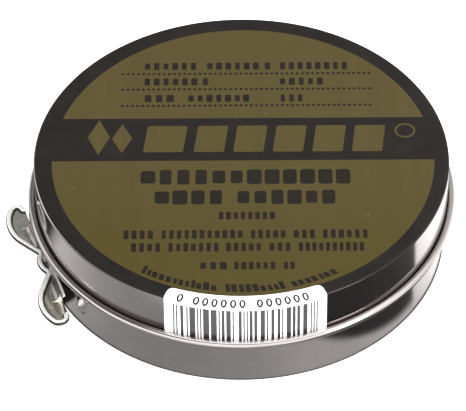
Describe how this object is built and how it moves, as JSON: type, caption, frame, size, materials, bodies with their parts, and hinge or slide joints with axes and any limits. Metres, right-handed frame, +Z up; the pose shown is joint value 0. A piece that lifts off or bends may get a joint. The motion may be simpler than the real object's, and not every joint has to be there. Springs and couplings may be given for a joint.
{
  "type": "shoe polish tin",
  "caption": "Low round tinplate shoe polish tin with a slip-on lid, a riveted butterfly opening key, a paper label and a wax cake inside.",
  "frame": {"origin": "centre of the flat underside of the base, on the tin's axis", "axes": "+Z up along the tin's axis, -Y towards the labelled front, the key on the -X side"},
  "size_m": [0.0931, 0.088, 0.0221],
  "materials": {
    "base_tinplate": "bright tinplate with a faint rolling grain",
    "lid_print": "gloss black litho print with an olive disc, bare metal on the curl",
    "wax": "hard black wax, satin",
    "key_steel": "bright tin-plated pressing",
    "rivet_steel": "bright",
    "label_paper": "white coated paper with black bars"
  },
  "bodies": {
    "base": {"base_shell": "base_tinplate", "polish_cake": "wax", "key_rivet": "rivet_steel"},
    "lid": {"lid_shell": "lid_print", "barcode_label": "label_paper"},
    "key": {"butterfly_key": "key_steel"}
  },
  "joints": [
    {"name": "lid_lift", "type": "slide", "parent": "base", "child": "lid", "axis": [0, 0, 1], "range_m": [0, 0.03]},
    {"name": "key_turn", "type": "hinge", "parent": "base", "child": "key", "pos_m": [-0.0401, -0.01318, 0.0072], "axis": [0.95, 0.3123, 0], "range_deg": [0, 90]}
  ],
  "couplings": [
    {"joint": "key_turn", "follows": "lid_lift", "rad_per_m": 52.36}
  ]
}
